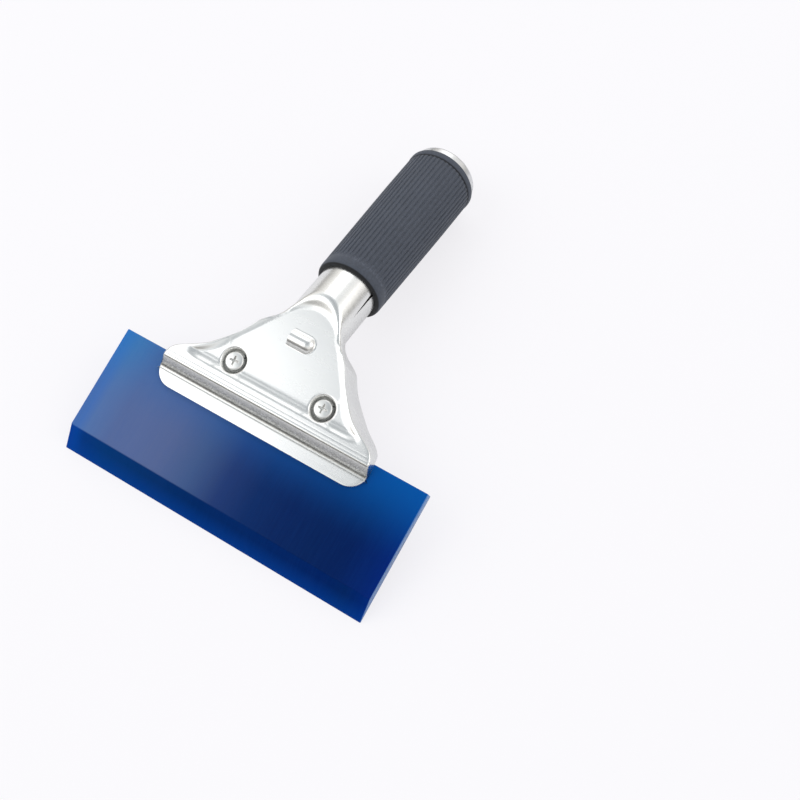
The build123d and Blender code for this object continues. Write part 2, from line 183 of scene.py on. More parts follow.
def braced(outline, gap=0.06):
    """Outline with points added near the ends of its long runs, so that flats shade flat."""
    long_run = 0.5
    out = []
    for i, here in enumerate(outline):
        there = outline[(i + 1) % len(outline)]
        reach = math.dist(here, there)
        out.append(here)
        if reach > long_run:
            for share in (gap / reach, 1 - gap / reach):
                out.append(tuple(a + (b - a) * share for a, b in zip(here, there)))
    return out


def ease(x, start, end):
    """Smooth step from 0 at start to 1 at end."""
    t = np.clip((np.asarray(x, float) - start) / (end - start), 0.0, 1.0)
    return t * t * (3 - 2 * t)


def between(a, b, share):
    """Value a share of the way from one to another."""
    return a * (1 - share) + b * share


def soft_min(a, b, blend):
    """The smaller of two values, rounded over where they meet."""
    h = np.clip(0.5 + 0.5 * (b - a) / blend, 0.0, 1.0)
    return b * (1 - h) + a * h - blend * h * (1 - h)


def soft_max(a, b, blend):
    """The larger of two values, rounded over where they meet."""
    return -soft_min(-a, -b, blend)


# ---- node helpers
def node(tree, kind, settings=None, **inputs):
    """Add a node; settings are its own properties, inputs its sockets by name, or by n and index."""
    made = tree.nodes.new(kind)
    for key, value in (settings or {}).items():
        setattr(made, key, value)
    for key, value in inputs.items():
        name = int(key[1:]) if key[0] == "n" and key[1:].isdigit() else key.replace("_", " ")
        if isinstance(value, bpy.types.NodeSocket):
            tree.links.new(value, made.inputs[name])
        else:
            made.inputs[name].default_value = value
    return made


def effect(name, inputs, outputs, build):
    """Shader node group that puts out values; inputs go by name with a default, None for a place."""
    group = bpy.data.node_groups.new(name, "ShaderNodeTree")
    for label, default in inputs.items():
        kind = "NodeSocketVector" if default is None else "NodeSocketFloat"
        socket = group.interface.new_socket(label, in_out="INPUT", socket_type=kind)
        if default is not None:
            socket.default_value = default
    for label in outputs:
        group.interface.new_socket(label, in_out="OUTPUT", socket_type="NodeSocketFloat")
    given = group.nodes.new("NodeGroupInput").outputs
    outside = group.nodes.new("NodeGroupOutput")
    for label, socket in zip(outputs, build(group, given)):
        group.links.new(socket, outside.inputs[label])
    return group


def use(tree, group, **inputs):
    """Place an effect in a material with its own values; returns what it puts out."""
    return node(tree, "ShaderNodeGroup", {"node_tree": group}, **inputs).outputs


def noise(tree, place, scale, detail):
    """Noise over a place, in spots per metre."""
    return node(tree, "ShaderNodeTexNoise", Vector=place, Scale=scale, Detail=detail).outputs[0]


def mixed(tree, amount, first, second, blend="MIX"):
    """Colour mixed from first to second by amount."""
    return node(tree, "ShaderNodeMix", {"data_type": "RGBA", "blend_type": blend}, n0=amount, n6=first,
                n7=second).outputs[2]


def ranged(tree, value, low, high, to_low=0.0, to_high=1.0, kind="LINEAR"):
    """Value taken from one range to another."""
    return node(tree, "ShaderNodeMapRange", {"interpolation_type": kind}, Value=value, From_Min=low,
                From_Max=high, To_Min=to_low, To_Max=to_high).outputs[0]


def calc(tree, operation, first, second):
    """Sum, product or the like of two values."""
    return node(tree, "ShaderNodeMath", {"operation": operation}, n0=first, n1=second).outputs[0]


def srgb(code):
    """Linear colour from a hex code."""
    parts = [int(code[i:i + 2], 16) / 255 for i in (0, 2, 4)]
    return tuple(c / 12.92 if c <= 0.04045 else ((c + 0.055) / 1.055) ** 2.4 for c in parts) + (1.0,)


def shaded(tree, value, stops):
    """Colour ramp over a value, from (value, hex code) stops."""
    low, high = stops[0][0], stops[-1][0]
    ramp = node(tree, "ShaderNodeValToRGB", Fac=ranged(tree, value, low, high))
    points = ramp.color_ramp.elements
    while len(points) < len(stops):
        points.new(0.5)
    for point, (position, code) in zip(points, stops):
        point.position = (position - low) / (high - low)
        point.color = srgb(code)
    return ramp.outputs[0]


# ---- shared effects
def build_grain(tree, given):
    """Fine scratches drawn out along one direction, with a soft cloudiness under them."""
    fine = noise(tree, given["Place"], given["Scale"], 3.0)
    cloud = noise(tree, given["Place"], calc(tree, "MULTIPLY", given["Scale"], 0.06), 2.0)
    both = calc(tree, "ADD", calc(tree, "MULTIPLY", fine, 0.7), calc(tree, "MULTIPLY", cloud, 0.3))
    return both, ranged(tree, both, 0.3, 0.7, given["Smooth"], given["Rough"])


def build_wear(tree, given):
    """Mask of rubbed edges and corners, broken up by noise."""
    worn = node(tree, "ShaderNodeBevel", {"samples": 4}, Radius=given["Width"])
    flat = node(tree, "ShaderNodeNewGeometry").outputs["Normal"]
    turn = node(tree, "ShaderNodeVectorMath", {"operation": "DOT_PRODUCT"}, n0=worn.outputs[0], n1=flat)
    edge = ranged(tree, turn.outputs["Value"], 0.995, 0.9)
    spots = noise(tree, given["Place"], given["Scale"], 4.0)
    return [calc(tree, "MULTIPLY", edge, ranged(tree, spots, 0.35, 0.65))]


def build_crease_shade(tree, given):
    """Mask of painted shade where one face meets another, found by ambient occlusion."""
    shut = node(tree, "ShaderNodeAmbientOcclusion", {"samples": 6}, Distance=given["Reach"])
    return [ranged(tree, shut.outputs["AO"], 0.35, 0.95, 1.0, 0.0)]


GRAIN = effect("drawn grain", {"Place": None, "Scale": 100.0, "Smooth": 0.25, "Rough": 0.4},
               ["Height", "Roughness"], build_grain)
WEAR = effect("rubbed edges", {"Place": None, "Scale": 300.0, "Width": 0.0004}, ["Mask"], build_wear)
# painted shade: a mask of inner corners and hollows, found by ambient occlusion
CREASE_SHADE = effect("painted crease shade", {"Reach": 0.001}, ["Mask"], build_crease_shade)

# ---- materials
LYING = math.atan2(ALONG[2], ALONG[1])
GRIP_START = 67.0

# Painted shade over the head's ramp, by metres from the working edge.
RAMP_PAINTED_SHADE = [(0.0498, "FFFFFF"), (0.0504, "E4E4E2"), (0.0511, "BEBEBC"), (0.0525, "A8A8A6"),
                (0.0538, "C6C6C4"), (0.0551, "EEEEEC"), (0.0563, "FFFFFF")]
# Blues of the blade, by metres from the head's middle: its face, the face's rear part, its bevel. They hold
# painted light: a painted sheen that grows lighter towards the left end, and painted light on the rear part and
# the bevel.
LEFT_END, RIGHT_END = -0.0735, 0.0765
FACE_BLUES_PAINTED_SHEEN = [(LEFT_END, "4872B8"), (-0.070, "4A75BC"), (-0.066, "5879B2"), (-0.055, "5A70A4"),
              (-0.045, "5C70A3"), (-0.030, "5A6C9C"), (-0.015, "445E90"), (0.0, "223C76"),
              (0.015, "062B66"), (0.030, "032560"), (0.045, "02235C"), (0.060, "02225F"),
              (0.070, "01256E"), (RIGHT_END, "01267A")]
REAR_BLUES_PAINTED_LIGHT = [(LEFT_END, "2E7CCD"), (-0.066, "3E7EBE"), (-0.055, "4673B2"), (0.0, "1A5AA8"),
              (0.045, "0556A8"), (RIGHT_END, "055AAE")]
BEVEL_BLUES_PAINTED_LIGHT = [(LEFT_END, "0844A7"), (-0.070, "0448A5"), (-0.066, "043C8A"), (-0.055, "033D80"),
               (-0.030, "043574"), (0.0, "012C6D"), (0.055, "01276E"), (0.066, "01296A"),
               (0.074, "012C7E"), (RIGHT_END, "012E88")]


def new_material(name, **settings):
    """Material with one Principled shader; returns it, its tree and its object place."""
    material = bpy.data.materials.new(name)
    material.use_nodes = True
    tree = material.node_tree
    for key, value in settings.items():
        tree.nodes["Principled BSDF"].inputs[key.replace("_", " ")].default_value = value
    return material, tree, node(tree, "ShaderNodeTexCoord").outputs["Object"]


def finished(material, colour, roughness, height, strength, depth):
    """The material with colour, roughness and a bump from a height linked to its shader."""
    tree = material.node_tree
    bump = node(tree, "ShaderNodeBump", Strength=strength, Distance=depth, Height=height)
    for name, socket in (("Base Color", colour), ("Roughness", roughness), ("Normal", bump.outputs[0])):
        tree.links.new(socket, tree.nodes["Principled BSDF"].inputs[name])
    return material


def drawn_out(tree, place, scale):
    """Object place turned to the blade and stretched, for grain that runs one way."""
    return node(tree, "ShaderNodeMapping", Vector=place, Rotation=(-LYING, 0.0, 0.0), Scale=scale).outputs[0]


def measured_from(tree, place, origin, lean):
    """X, Y and Z of the object place from an origin, with Y turned about X to lean as asked."""
    shift = -(Matrix.Rotation(-lean, 3, "X") @ Vector(at(origin)))
    moved = node(tree, "ShaderNodeMapping", Vector=place, Rotation=(-lean, 0.0, 0.0), Location=shift)
    return list(node(tree, "ShaderNodeSeparateXYZ", Vector=moved.outputs[0]).outputs)


def in_tool(tree, place):
    """X along the blade, Y from the working edge and Z out of the blade's front, in metres."""
    return measured_from(tree, place, (0.0, 0.0, 0.0), LYING)


def along_grip(tree, place):
    """Distance along the handle axis from the grip's near end, in metres."""
    return measured_from(tree, place, on_axis((0.0, 0.0, GRIP_START)), LYING - HANDLE_ANGLE)[1]


def painted_ramp_shade(tree, place, base, inside):
    """Base colour darkened by painted shade over the head's ramp and broken by pale flecks, with another colour
    inside the sheet.
    """
    y, z = in_tool(tree, place)[1:]
    bright_flecks = ranged(tree, noise(tree, place, 1900.0, 3.0), 0.44, 0.66, 0.0, 0.6)
    # painted shade: the ramp is darkened, most in its middle, with pale flecks through it
    ramp_shade = mixed(tree, bright_flecks, shaded(tree, y, RAMP_PAINTED_SHADE), srgb("FFFFFF"))
    outside = ranged(tree, z, 0.0030, 0.0036)
    return mixed(tree, outside, inside, mixed(tree, 1.0, base, ramp_shade, "MULTIPLY"))


def steel(name, colour, dark, scale, drawn, smooth, rough, bump=0.00001, ramp=False, crease_shade_share=0.45):
    """Steel with grain drawn out along X, brighter where rubbed, with painted shade in inner corners, and painted
    shade over the head's ramp if asked.
    """
    material, tree, place = new_material(name, Metallic=1.0)
    grain = use(tree, GRAIN, Place=drawn_out(tree, place, drawn), Scale=scale, Smooth=smooth, Rough=rough)
    base = mixed(tree, ranged(tree, grain["Height"], 0.35, 0.65), srgb(dark), srgb(colour))
    if ramp:
        base = painted_ramp_shade(tree, place, base, srgb(dark))
    worn = use(tree, WEAR, Place=place, Scale=900.0, Width=0.0005)
    base = mixed(tree, worn["Mask"], base, srgb("FBFAF8"))
    # painted shade: the colour darkens towards 5C5B58 in inner corners and hollows
    painted_crease_shade = calc(tree, "MULTIPLY", use(tree, CREASE_SHADE, Reach=0.0009)["Mask"], crease_shade_share)
    base = mixed(tree, painted_crease_shade, base, srgb("5C5B58"))
    return finished(material, base, grain["Roughness"], grain["Height"], 0.25, bump)


def cast_blue():
    """Blue cast polyurethane with a little subsurface, painted light (a painted sheen on the left of its face,
    brighter blue at its rear part, working edge and right end), and fine cut marks across it.
    """
    material, tree, place = new_material(
        "cast blue polyurethane", IOR=1.5, Specular_IOR_Level=0.06, Subsurface_Weight=0.05,
        Subsurface_Radius=(0.1, 0.25, 1.0), Subsurface_Scale=0.002)
    x, y = in_tool(tree, place)[:2]
    # painted light: the rear of the face, the bevel near the working edge and the right end face are painted a
    # brighter blue
    painted_rear_light = ranged(tree, y, 0.025, 0.060, 0.0, 1.0, "SMOOTHSTEP")
    painted_edge_light = ranged(tree, y, 0.007, -0.002, 0.0, 0.75)
    on_bevel = ranged(tree, y, 0.0106, 0.0100)
    painted_end_light = ranged(tree, x, 0.07625, 0.07645, 0.0, 0.6)
    face = mixed(tree, painted_rear_light, shaded(tree, x, FACE_BLUES_PAINTED_SHEEN), shaded(tree, x, REAR_BLUES_PAINTED_LIGHT))
    bevel = mixed(tree, painted_edge_light, shaded(tree, x, BEVEL_BLUES_PAINTED_LIGHT), srgb("0248AA"))
    base = mixed(tree, painted_end_light, mixed(tree, on_bevel, face, bevel), srgb("6C9FDC"))
    cut_marks = drawn_out(tree, place, (8.0, 0.35, 1.0))
    grain = use(tree, GRAIN, Place=cut_marks, Scale=180.0, Smooth=0.13, Rough=0.26)
    streak = ranged(tree, grain["Height"], 0.38, 0.66, 0.0, 0.06)
    base = mixed(tree, streak, base, srgb("0850AE"))
    return finished(material, base, grain["Roughness"], grain["Height"], 0.15, 0.00001)


def ribbed_rubber():
    """Matt blue-grey rubber: fine texture, rubbed crests, and painted shade on the cut end and in the notch before
    the collar.
    """
    material, tree, place = new_material("ribbed rubber", IOR=1.45, Sheen_Weight=0.1, Sheen_Roughness=0.5)
    run = along_grip(tree, place)
    fine = noise(tree, place, 1100.0, 3.0)
    bloom = ranged(tree, noise(tree, place, 45.0, 2.0), 0.35, 0.7, 0.0, 0.35)
    rubbed = calc(tree, "MULTIPLY", use(tree, WEAR, Place=place, Scale=500.0, Width=0.0003)["Mask"], 0.5)
    # painted shade: the near cut end and the notch before the collar are painted near-black
    painted_end_shade = ranged(tree, run, 0.0006, 0.0003)
    painted_groove_shade = calc(tree, "MULTIPLY", ranged(tree, run, 0.0773, 0.0776), ranged(tree, run, 0.0785, 0.0782))
    base = mixed(tree, ranged(tree, fine, 0.35, 0.65), srgb("3E434E"), srgb("4C525F"))
    for amount, code in ((bloom, "565C69"), (rubbed, "6C7280"), (painted_end_shade, "14161B"),
                         (calc(tree, "MULTIPLY", painted_groove_shade, 0.8), "15171B")):
        base = mixed(tree, amount, base, srgb(code))
    return finished(material, base, ranged(tree, fine, 0.3, 0.7, 0.5, 0.66), fine, 0.3, 0.00004)


def socket_plastic():
    """Black moulded plastic with a slight orange peel."""
    material, tree, place = new_material("moulded socket plastic", IOR=1.48)
    peel = noise(tree, place, 600.0, 2.0)
    base = mixed(tree, peel, srgb("17181A"), srgb("232427"))
    return finished(material, base, ranged(tree, peel, 0.3, 0.7, 0.38, 0.5), peel, 0.3, 0.00005)


SHEET_GRAIN = (160.0, (0.6, 2.5, 2.5))
PRESSED_STEEL = steel("pressed stainless", "F8F8F6", "F3F3F2", *SHEET_GRAIN, 0.23, 0.30, 0.0000015,
                      ramp=True)
PLATE_STEEL = steel("rear jaw stainless", "E9E8E6", "D8D8D8", *SHEET_GRAIN, 0.26, 0.36)
RING_STEEL = steel("turned ring steel", "EDEDEE", "DDDEE0", 220.0, (1.0, 3.0, 3.0), 0.24, 0.34)
SCREW_STEEL = steel("plated screw steel", "F7F7F5", "EAEAE8", 500.0, (1.0, 1.0, 1.0), 0.28, 0.38,
                    crease_shade_share=0.2)
BLADE_BLUE = cast_blue()
GRIP_RUBBER = ribbed_rubber()
SOCKET_PLASTIC = socket_plastic()


def dress(piece, material):
    """Give a piece one material."""
    piece.data.materials.clear()
    piece.data.materials.append(material)


# ---- pressed head and handle tube
SHEET = 1.2
JAW_HALF = (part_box("jaw_plate")[1].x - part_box("jaw_plate")[0].x) / MM / 2 + 1.8
LIP_TOP = BLADE_THICK / 2 + SHEET
RIB_TOP = LIP_TOP + 4.5
PANEL_TOP = RIB_TOP - 1.2
CORNER = 8.0
FOLD = 1.3
ROLL = 8.0
GROOVE_LINES = (56.5, 58.1)
GROOVE_DEPTH = 0.09
GROOVE_HALF = 0.34

LEFT_SCREW, RIGHT_SCREW = (np.array(joints[side + "_screw_turn"]["pos_m"]) for side in ("left", "right"))
SCREW_X = np.linalg.norm(RIGHT_SCREW - LEFT_SCREW) / MM / 2
SCREW_Y = BLADE_WIDTH + 9.5
SCREW_HOLE = 2.2
SINK_DEPTH = 3.4
SINK_FOOT = 4.35
SINK_WALL = 1.35
SEAT_TOP = PANEL_TOP - SINK_DEPTH

HUMP_X = 0.4
HUMP_Y = BLADE_WIDTH + 29.5
HUMP_HALF = 6.0
HUMP_SIDE = 3.7
HUMP_RISE = 2.4

TUBE_RADIUS = 13.5
GRIP_LENGTH = 81.5
RING_LENGTH = 4.5
TUBE_END = GRIP_START + GRIP_LENGTH + RING_LENGTH
SLIT_ANGLE = math.radians(65.0)
SLIT_LENGTH = 15.0
SLIT_RUN = 17.0
SLIT_HALF = 0.75
SLIT_SPREAD = 3.0

# The middle line leaves the blade's plane at BEND_FROM and is straight from BEND_TO along the
# handle axis on.  There the sheet reaches SKIRT_HALF round each side; it closes at DRAWN_HALF.
BEND_FROM = 86.0
BEND_TO = 46.0
BEND_END = BLADE_WIDTH + BEND_TO * COS
DROP_END = AXIS_RISE - BEND_TO * SIN
SKIRT_HALF = 32.7
DRAWN_HALF = math.pi * TUBE_RADIUS - 0.2

# Each side of a section has stops at the hump's reach, the slit (or the screw sinks' outer rim),
# the flank and the fold; RING_STEPS are the radii of the mesh rings in and round a screw sink.
HUMP_STOP = 7.0
FLANK_STOP = 18.0
FOLD_STOP = 22.0
RING_STEPS = [0, 1.2, 2.25, 2.6, 3.1, 3.6, 4.1, 4.5, 4.75, 5.0, 5.3, 5.6, 5.9, 6.2]
SINK_REACH = RING_STEPS[-1]


def curve_through(x, knots):
    """Smooth curve through (x, y, slope) knots."""
    xs, ys, slopes = (np.array(column, float) for column in zip(*knots))
    x = np.clip(np.asarray(x, float), xs[0], xs[-1])
    i = np.clip(np.searchsorted(xs, x, "right") - 1, 0, len(xs) - 2)
    step = xs[i + 1] - xs[i]
    t = (x - xs[i]) / step
    return ((1 + 2 * t) * (1 - t) ** 2 * ys[i] + t * (1 - t) ** 2 * step * slopes[i]
            + t * t * (3 - 2 * t) * ys[i + 1] + t * t * (t - 1) * step * slopes[i + 1])


def head_half(y):
    """Half the head's width at the lip's level: lip corner, shoulder, waist, nape, neck."""
    inset = JAW_HALF - CORNER
    shoulder = BLADE_WIDTH - 2.5
    if y < shoulder:
        return inset + math.sqrt(max(CORNER ** 2 - max(LIP_FRONT + CORNER - y, 0.0) ** 2, 0.0))
    swing = math.radians(57.0)
    flare = shoulder + CORNER * math.sin(swing)
    if y < flare:
        return inset + math.sqrt(CORNER ** 2 - (y - shoulder) ** 2)
    return float(curve_through(y, [(flare, inset + CORNER * math.cos(swing), -math.tan(swing)),
                                   (BLADE_WIDTH + 12, 35.4, -1.02), (BLADE_WIDTH + 21, 27.2, -0.76),
                                   (BLADE_WIDTH + 32.5, 20.4, -0.52), (BLADE_WIDTH + 46, 14.6, -0.34),
                                   (BLADE_WIDTH + 60, 12.6, 0.0)]))


def panel_half(y):
    """Half the sunk panel's width."""
    return curve_through(y, [(BLADE_WIDTH + 6, 38.6, -1.75), (BLADE_WIDTH + 21, 25.7, -0.75),
                             (BLADE_WIDTH + 32.5, 17.4, -0.72), (BLADE_WIDTH + 41.1, 10.6, -1.0)])


def panel_reach(x, y):
    """Distance outside the panel's outline, negative inside: round top, leaning flanks, straight front."""
    radius, top, front = 15.0, BLADE_WIDTH + 45.5, BLADE_WIDTH + 6.0
    flank_lean = 0.8
    centre = top - radius
    join = centre + radius * math.sin(math.radians(45.0))
    flank = (np.abs(x) - panel_half(np.minimum(y, join))) * flank_lean
    arc = np.hypot(x, y - centre) - radius
    return np.maximum(np.where(y > join, arc, flank), front - y)


def lip_and_rib(y):
    """Height of the head's top across the lip, the ramp and the rib's crest with its two grooves."""
    root = LIP_FRONT + 7.0
    ramp = LIP_TOP + (y - root) * math.tan(math.radians(47.0))
    crest = soft_min(soft_max(LIP_TOP, ramp, 1.3), RIB_TOP, 0.8)
    return crest - sum(GROOVE_DEPTH * np.exp(-((y - line) / GROOVE_HALF) ** 2) for line in GROOVE_LINES)


def head_top(y):
    """Height of the uncut top along the middle, up to where the tube's back takes over."""
    back = AXIS_RISE + TUBE_RADIUS * COS - (y - BLADE_WIDTH - TUBE_RADIUS * SIN) * SIN / COS
    blend = float(ease(y, BLADE_WIDTH + 35, BLADE_WIDTH + 46))
    return between(float(lip_and_rib(y)), back, blend)


def wall_foot(y):
    """Height of the lower edge of the side walls along the head."""
    return BLADE_THICK / 2 - 7.5 * float(ease(y, BLADE_WIDTH - 0.7, BLADE_WIDTH + 8.5))


def wall_draft(y):
    """Lean of the side walls: most at the shoulders, none at the neck."""
    return math.radians(float(curve_through(y, [(BLADE_WIDTH - 1, 9.0, 0.0), (BLADE_WIDTH + 11, 20.0, 0.0),
                                                (BLADE_WIDTH + 24, 14.0, -0.3), (BLADE_WIDTH + 36, 10.0, -0.4)])))


def middle_line(run):
    """Height and tilt of the line that the sections stand on: flat head, bend, straight tube."""
    if run <= BEND_FROM:
        return 0.0, 0.0
    if run >= BEND_END:
        return DROP_END - (run - BEND_END) * SIN / COS, HANDLE_ANGLE
    reach = BEND_END - BEND_FROM
    t = (run - BEND_FROM) / reach
    drop = float(curve_through(t, [(0, 0.0, 0.0), (1, DROP_END, -reach * SIN / COS)]))
    return drop, HANDLE_ANGLE * float(ease(t, 0, 1))


def tube_measures(run):
    """Section of the straight tube: a skirt that closes into a round."""
    along = (run - BLADE_WIDTH) / COS
    length = min(DRAWN_HALF, SKIRT_HALF + max(along - BEND_TO, 0.0) + max(along - 49.0, 0.0) ** 2 * 0.9)
    stops = [0, HUMP_STOP, TUBE_RADIUS * SLIT_ANGLE, FLANK_STOP, FOLD_STOP, length]
    return TUBE_RADIUS, TUBE_RADIUS, TUBE_RADIUS, 0.0, -TUBE_RADIUS, TUBE_RADIUS, stops


def head_measures(run, z, tilt):
    """Section of the pressed head, and of the bend where it turns into the tube."""
    lean_in, fold_share, skirt_low, least_wall = 0.17, 0.6, -16.0, 0.1
    t = float(ease(run, BEND_FROM, BEND_END))
    corner_y = run + TUBE_RADIUS * math.sin(tilt) * 0.8
    top = between((head_top(corner_y) - z) / math.cos(tilt), TUBE_RADIUS, t)
    height = top if tilt else top - BLADE_THICK / 2
    lean = wall_draft(run) * (1 - t)
    wide = head_half(corner_y) - max(min(top, RIB_TOP) - LIP_TOP, 0.0) * lean_in
    half = between(float(soft_max(wide, TUBE_RADIUS, 1.5)), TUBE_RADIUS, t)
    open_fold = FOLD + (TUBE_RADIUS - FOLD) * float(ease(corner_y, BLADE_WIDTH + 30, BLADE_WIDTH + 47))
    fold = between(min(open_fold, fold_share * height), TUBE_RADIUS, t)
    roll = ROLL + (TUBE_RADIUS - ROLL) * t
    low = between(skirt_low, -TUBE_RADIUS, t)
    turn = math.pi / 2 - lean
    flat = half - fold * math.tan(turn / 2)
    drop = top - fold * (1 - math.cos(turn)) - wall_foot(run)
    foot = flat + fold * turn + max(drop, least_wall) / math.cos(lean)
    inner = min(SCREW_X + SINK_REACH, flat - 0.8)
    calm = float(ease(run, BEND_FROM + 1, BEND_END))
    stops = [0, HUMP_STOP, between(inner, TUBE_RADIUS * SLIT_ANGLE, calm), between(flat, FLANK_STOP, calm),
             between(flat + fold * turn, FOLD_STOP, calm), between(foot, SKIRT_HALF, t)]
    return half, top, fold, lean, low, roll, list(np.maximum.accumulate(stops))


def section(half, top, fold, lean, low, roll, lengths, marks):
    """Points across one side of a section, at stop marks: flat top, fold, wall and bottom roll."""
    turn = math.pi / 2 - lean
    flat = half - fold * math.tan(turn / 2)
    bend = fold * turn
    wall = max(top - fold * (1 - math.cos(turn)) - low - roll, 0.0) / math.cos(lean)
    arc = np.clip(np.interp(marks, range(len(lengths)), lengths), 0, None)
    on_flat = np.minimum(arc, flat)
    on_bend = np.clip(arc - flat, 0, bend) / fold
    on_wall = np.clip(arc - flat - bend, 0, wall)
    on_roll = np.clip(arc - flat - bend - wall, 0, None) / roll
    x = on_flat + fold * np.sin(on_bend) + on_wall * math.sin(lean) - roll * (1 - np.cos(on_roll))
    z = top - fold * (1 - np.cos(on_bend)) - on_wall * math.cos(lean) - roll * np.sin(on_roll)
    return x, z


def through_sink(middle):
    """Grid lines through a screw sink, closer together over its wall."""
    return [middle - r for r in RING_STEPS[:0:-1]] + [middle + r for r in RING_STEPS]


def head_columns():
    """Marks of the columns over one side: hump, screw sink, outer panel, fold and wall."""
    hump = np.arange(0, HUMP_STOP, 0.4) / HUMP_STOP
    between = [7.0, 8.6, 10.2, 11.6, 12.8, 13.8, 14.6, 15.3]
    sink = 1 + (np.array(between + through_sink(SCREW_X)) - HUMP_STOP) / (SCREW_X + SINK_REACH - HUMP_STOP)
    outer = 2 + (np.arange(1, 16) / 15) ** 1.2
    fold = 3 + np.arange(1, 8) / 7
    wall = 4 + np.arange(1, 16) / 15
    return np.concatenate([hump, sink, outer, fold, wall])


def head_rows():
    """Stations from the lip's edge to the tube's end."""
    corner = LIP_FRONT + CORNER - CORNER * np.cos(np.radians(np.linspace(0, 78, 12)))
    ramp = np.arange(49.6, 55.0, 0.3)
    rib = np.arange(55.0, SCREW_Y - SINK_REACH, 0.16)
    waist = np.arange(SCREW_Y + 6.7, 82.0, 0.7)
    hump = np.arange(82.0, BEND_FROM, 0.36)
    neck = BLADE_WIDTH + np.arange((BEND_FROM - BLADE_WIDTH) / COS, BEND_TO, 0.28) * COS
    mouth = BLADE_WIDTH + np.concatenate([np.arange(BEND_TO, 54.0, 0.5), np.arange(54.0, GRIP_START, 0.9)]) * COS
    under_grip = BLADE_WIDTH + np.linspace(GRIP_START, TUBE_END, 10) * COS
    return np.concatenate([corner, ramp, rib, through_sink(SCREW_Y), waist, hump, neck, mouth, under_grip])


def screw_distance(x, y):
    """Distance from the nearer screw's axis."""
    return np.hypot(np.abs(x) - SCREW_X, y - SCREW_Y)


def press(points):
    """Press the rib's rear, the panel and the screw sinks into the head's top; returns the heights."""
    x, y, z = points[..., 0], points[..., 1], points[..., 2]
    rear_drop, bank_slope = 0.85, 0.50
    behind_rib = 9.0 * ease(y, 63.6, 64.4)
    rear = RIB_TOP - rear_drop * ease(y, 59.6, 62.8) * (1 - ease(np.abs(x), 36.0, 42.0)) + behind_rib
    z = np.where(z > PANEL_TOP - 1.0, soft_min(z, rear, 0.15), z)
    bank = PANEL_TOP + (panel_reach(x, y) + 0.4) * bank_slope
    floor = soft_max(PANEL_TOP, bank, 0.7)
    pressed = soft_min(z, floor, 0.7 + 1.6 * ease(y, BLADE_WIDTH + 34, BLADE_WIDTH + 42))
    away = screw_distance(x, y)
    sink = soft_max(SEAT_TOP, SEAT_TOP + (away - SINK_FOOT) * SINK_DEPTH / SINK_WALL, 0.7)
    pressed = np.where(away < 9.0, soft_min(pressed, sink, 1.0), pressed)
    return np.where(z > SEAT_TOP - 2.0, pressed, z)


def hump_height(x, y):
    """Height of the lanced hump: part of a round bar along X, domed at its right end."""
    radius = (HUMP_SIDE ** 2 + HUMP_RISE ** 2) / (2 * HUMP_RISE)
    dome = np.maximum(x - HUMP_X - HUMP_HALF + radius, 0.0)
    square = radius ** 2 - (y - HUMP_Y) ** 2 - dome ** 2
    well_below = np.where(square < 0, 9.0, 0.0)
    return PANEL_TOP + HUMP_RISE - radius + np.sqrt(np.maximum(square, 0.0)) - well_below


def round_the_sinks(x, y):
    """Turn the square grid round each screw into rings."""
    for side in (-1, 1):
        dx, dy = x - side * SCREW_X, y - SCREW_Y
        square = np.maximum(np.abs(dx), np.abs(dy))
        ring = np.maximum(np.hypot(dx, dy), 1e-9)
        scale = 1 + (square / ring - 1) * (1 - ease(square, 6.25, 7.8))
        x = side * SCREW_X + dx * scale
        y = SCREW_Y + dy * scale
    return x, y


def skin_grid(rows, whole):
    """Points of the pressed skin by row and column, before it is cut."""
    grid = np.zeros((len(rows), len(whole), 3))
    for line, run in zip(grid, rows):
        z, tilt = middle_line(run)
        measures = head_measures(run, z, tilt) if run < BEND_END else tube_measures(run)
        across, height = section(*measures, np.abs(whole))
        line[:, 0] = across * np.sign(whole)
        line[:, 1] = run + height * math.sin(tilt)
        line[:, 2] = z + height * math.cos(tilt)
    near = (grid[..., 1] < SCREW_Y + 9.5) & (grid[..., 1] > SCREW_Y - 9.5) & (grid[..., 2] > PANEL_TOP - 1.0)
    for axis, rounded_off in enumerate(round_the_sinks(grid[..., 0], grid[..., 1])):
        grid[..., axis] = np.where(near, rounded_off, grid[..., axis])
    grid[..., 2] = press(grid)
    return grid


def raise_hump(skin, lance):
    """Raise the hump out of the panel, to the right of the column where the sheet is cut."""
    raised = soft_max(skin[..., 2], hump_height(skin[..., 0], skin[..., 1]), 0.2)
    on_panel = (skin[..., 2] > PANEL_TOP - 0.3) & (skin[..., 1] < 94) & (np.abs(skin[..., 0]) < 8)
    on_panel[:, :lance + 1] = False
    skin[..., 2] = np.where(on_panel, raised, skin[..., 2])


def open_slit(skin, rows, left, sides):
    """Spread the tube's sheet to both sides of a slit, whose left edge is one column."""
    along = (rows - BLADE_WIDTH) / COS
    wide = np.clip(along - (GRIP_START - SLIT_LENGTH), 0, SLIT_RUN) * SLIT_HALF / SLIT_RUN
    for k in range(max(left - 14, 0), min(left + 16, skin.shape[1])):
        push = -1 if k <= left else 1
        slit = sides[k] * (TUBE_RADIUS * SLIT_ANGLE)
        for j in np.nonzero(wide > 0)[0]:
            spot = skin[j, k]
            turn = math.atan2(spot[0], (spot[2] - (AXIS_RISE - along[j] * SIN)) / COS)
            fade = max(0.0, 1 - abs(turn * TUBE_RADIUS - slit) / SLIT_SPREAD)
            turn += push * wide[j] * fade / TUBE_RADIUS
            skin[j, k] = on_axis((TUBE_RADIUS * math.sin(turn), TUBE_RADIUS * math.cos(turn), along[j]))


